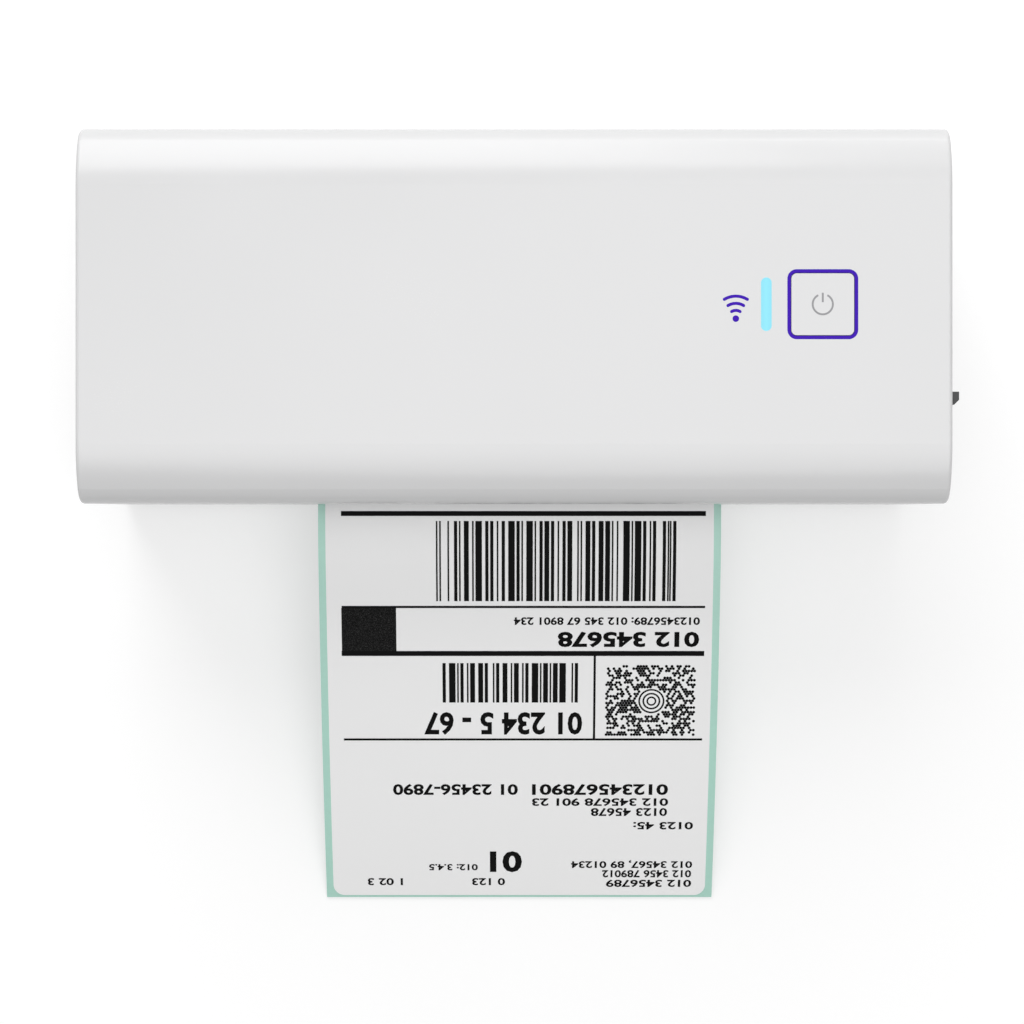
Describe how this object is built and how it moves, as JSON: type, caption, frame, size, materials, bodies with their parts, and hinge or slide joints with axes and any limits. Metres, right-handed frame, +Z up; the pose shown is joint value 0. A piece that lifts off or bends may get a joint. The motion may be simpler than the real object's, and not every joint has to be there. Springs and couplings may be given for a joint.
{
  "type": "shipping label printer",
  "caption": "Desktop thermal label printer: rear-hinged cover with side latch lever, platen and gear drive, label guides, power button and a label coming out of the front slot.",
  "frame": {"origin": "on the table, under the middle of the box around printer and label", "axes": "+X to the printer's right end, -Y out of the front slot, +Z up"},
  "size_m": [0.2158, 0.1997, 0.086],
  "materials": {
    "white_case": "glossy",
    "dark_frame": "fine grain",
    "mid_grey_plastic": "fine grain",
    "lever_plastic": "satin",
    "foot_rubber": "matte",
    "platen_rubber": "ground smooth",
    "steel": "turned",
    "plated_sheet": "zinc plated",
    "aluminium": "extruded",
    "brass": "turned",
    "gear_plastic": "moulded",
    "head_ceramic": "glazed",
    "circuit_board": "solder resist",
    "socket_black": "moulded",
    "socket_metal": "nickel plated",
    "ring_violet": "satin",
    "light_cyan": "translucent",
    "lamp_white": "clear",
    "liner_green": "silicone coated",
    "label_white": "thermal coated"
  },
  "bodies": {
    "base": {"base_housing": "white_case", "bottom_cover": "dark_frame", "rubber_feet": "foot_rubber", "bottom_cover_screws": "steel", "deck": "dark_frame", "deck_screws": "steel", "guide_pinion_screw": "steel", "gap_sensor": "socket_black", "strike_pins": "steel", "platen_bushes": "gear_plastic", "idler_stud": "steel", "idler_clip": "steel", "stepper_motor": "plated_sheet", "gear_bracket": "plated_sheet", "bracket_screws": "steel", "main_board": "circuit_board", "main_board_screws": "steel", "radio_module": "socket_metal", "power_inlet": "socket_black", "data_socket": "socket_metal", "hinge_pins": "steel"},
    "lid": {"top_cover": "white_case", "lid_frame": "dark_frame", "lid_frame_screws": "steel", "tear_bar": "plated_sheet", "latch_spring": "steel", "control_board": "circuit_board", "control_board_screws": "steel", "power_switch": "socket_black", "status_leds": "lamp_white", "button_ring": "ring_violet", "status_light_lens": "light_cyan"},
    "print_head": {"head_ceramic": "head_ceramic", "head_heat_sink": "aluminium", "head_bracket": "plated_sheet", "head_springs": "steel"},
    "latch": {"latch_shaft": "steel", "latch_hook_left": "mid_grey_plastic", "latch_hook_right": "mid_grey_plastic", "release_lever": "lever_plastic"},
    "button": {"power_button": "white_case", "switch_stem": "mid_grey_plastic"},
    "platen": {"platen_shaft": "steel", "platen_rubber": "platen_rubber", "platen_gear": "gear_plastic"},
    "idler": {"idler_gear": "gear_plastic"},
    "motor_rotor": {"motor_pinion": "brass", "motor_shaft": "steel"},
    "guide_left": {"left_guide": "mid_grey_plastic"},
    "guide_right": {"right_guide": "mid_grey_plastic"},
    "guide_gear": {"guide_pinion": "gear_plastic"},
    "label": {"label_liner": "liner_green", "printed_label": "label_white"}
  },
  "joints": [
    {"name": "cover_hinge", "type": "hinge", "parent": "base", "child": "lid", "pos_m": [0, 0.0933, 0.043], "axis": [-1, 0, 0], "range_deg": [0, 90]},
    {"name": "latch_turn", "type": "hinge", "parent": "lid", "child": "latch", "pos_m": [0, 0.0358, 0.056], "axis": [-1, 0, 0], "range_deg": [0, 10], "stiffness_Nm_per_rad": 0.4, "springref_deg": -17.19},
    {"name": "power_button_press", "type": "slide", "parent": "lid", "child": "button", "axis": [0, 0, -1], "range_m": [0, 0.0008], "stiffness_N_per_m": 1500, "springref_m": -0.0005},
    {"name": "print_head_float", "type": "slide", "parent": "lid", "child": "print_head", "axis": [0, 0, 1], "range_m": [0, 0.0006], "stiffness_N_per_m": 4000, "springref_m": -0.002},
    {"name": "platen_spin", "type": "hinge", "parent": "base", "child": "platen", "pos_m": [0.0015, 0.0278, 0.027], "axis": [1, 0, 0], "continuous": true},
    {"name": "idler_spin", "type": "hinge", "parent": "base", "child": "idler", "pos_m": [0.0637, 0.03487, 0.01657], "axis": [1, 0, 0], "continuous": true},
    {"name": "motor_spin", "type": "hinge", "parent": "base", "child": "motor_rotor", "pos_m": [0.0684, 0.04879, 0.018], "axis": [1, 0, 0], "continuous": true},
    {"name": "left_guide_slide", "type": "slide", "parent": "base", "child": "guide_left", "axis": [1, 0, 0], "range_m": [-0.004, 0.038]},
    {"name": "right_guide_slide", "type": "slide", "parent": "base", "child": "guide_right", "axis": [-1, 0, 0], "range_m": [-0.004, 0.038]},
    {"name": "guide_pinion_turn", "type": "hinge", "parent": "base", "child": "guide_gear", "pos_m": [0.0015, 0.06979, 0.0307], "axis": [0, 0, 1], "range_deg": [-31, 291]},
    {"name": "label_feed", "type": "slide", "parent": "base", "child": "label", "axis": [0, -1, 0], "range_m": [0, 0.02]}
  ],
  "couplings": [
    {"joint": "idler_spin", "follows": "platen_spin", "ratio": -1.625},
    {"joint": "motor_spin", "follows": "platen_spin", "ratio": 4.0625},
    {"joint": "right_guide_slide", "follows": "left_guide_slide", "ratio": 1},
    {"joint": "guide_pinion_turn", "follows": "left_guide_slide", "rad_per_m": 133.33}
  ]
}
